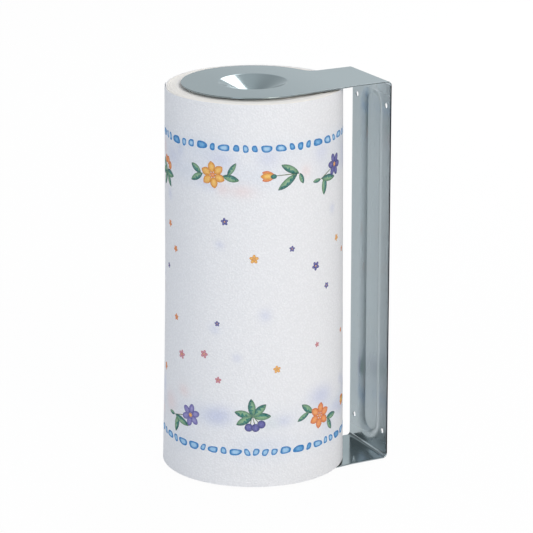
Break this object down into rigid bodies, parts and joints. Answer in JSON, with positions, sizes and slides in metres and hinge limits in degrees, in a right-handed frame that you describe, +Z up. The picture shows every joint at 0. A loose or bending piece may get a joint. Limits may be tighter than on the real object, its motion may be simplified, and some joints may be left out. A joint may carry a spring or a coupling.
{
  "type": "paper towel holder",
  "caption": "Wall-mounted paper towel holder: a bent sheet-steel bracket whose round arms carry a paper roll between pressed cones.",
  "frame": {"origin": "centre of the four wall holes, on the rear face of the back plate", "axes": "+X away from the wall, +Z up along the roll, +Y sideways to the edge that is flush with the arms' straight side; the round arm ends lie towards -Y"},
  "size_m": [0.1268, 0.106, 0.2338],
  "materials": {
    "sheet_steel": "satin",
    "core_board": "matte",
    "wound_paper": "matte",
    "outer_paper": "matte"
  },
  "bodies": {
    "bracket": {"bracket": "sheet_steel"},
    "top_arm": {"top_arm": "sheet_steel"},
    "roll": {"core_tube": "core_board", "paper_roll": "wound_paper", "outer_sheet": "outer_paper"}
  },
  "joints": [
    {"name": "roll_spin", "type": "hinge", "parent": "bracket", "child": "roll", "pos_m": [0.0718, -0.015, 0], "axis": [0, 0, 1], "continuous": true},
    {"name": "top_arm_flex", "type": "hinge", "parent": "bracket", "child": "top_arm", "pos_m": [0.0028, 0, 0.11687], "axis": [0, -1, 0], "range_deg": [0, 8], "stiffness_Nm_per_rad": 10}
  ]
}
